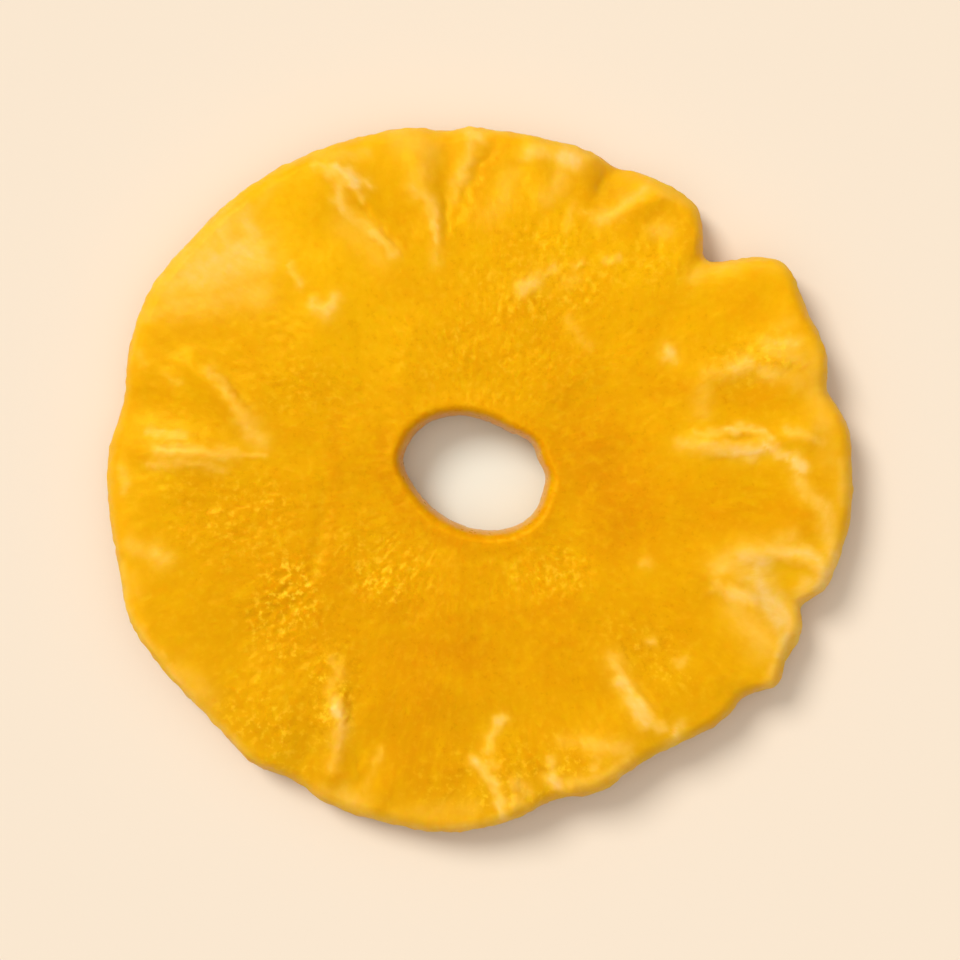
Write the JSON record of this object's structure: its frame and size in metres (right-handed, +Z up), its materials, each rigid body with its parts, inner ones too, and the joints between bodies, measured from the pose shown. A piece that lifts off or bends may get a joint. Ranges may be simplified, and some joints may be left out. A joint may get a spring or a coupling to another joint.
{
  "type": "dried pineapple ring",
  "caption": "Round slice of sugared, dried pineapple with a punched oval core hole and a scalloped, notched rim, lying flat.",
  "frame": {"origin": "on the surface that the ring lies on, under the middle of the ring's box", "axes": "+Z up out of the shown face of the slice, +X to the right and +Y to the top of the picture, which looks straight down"},
  "size_m": [0.0724, 0.0684, 0.0072],
  "materials": {
    "pineapple_flesh": "moist, translucent amber-yellow fruit flesh with a soft sugary shine"
  },
  "bodies": {
    "root": {"pineapple_ring": "pineapple_flesh"}
  },
  "joints": []
}
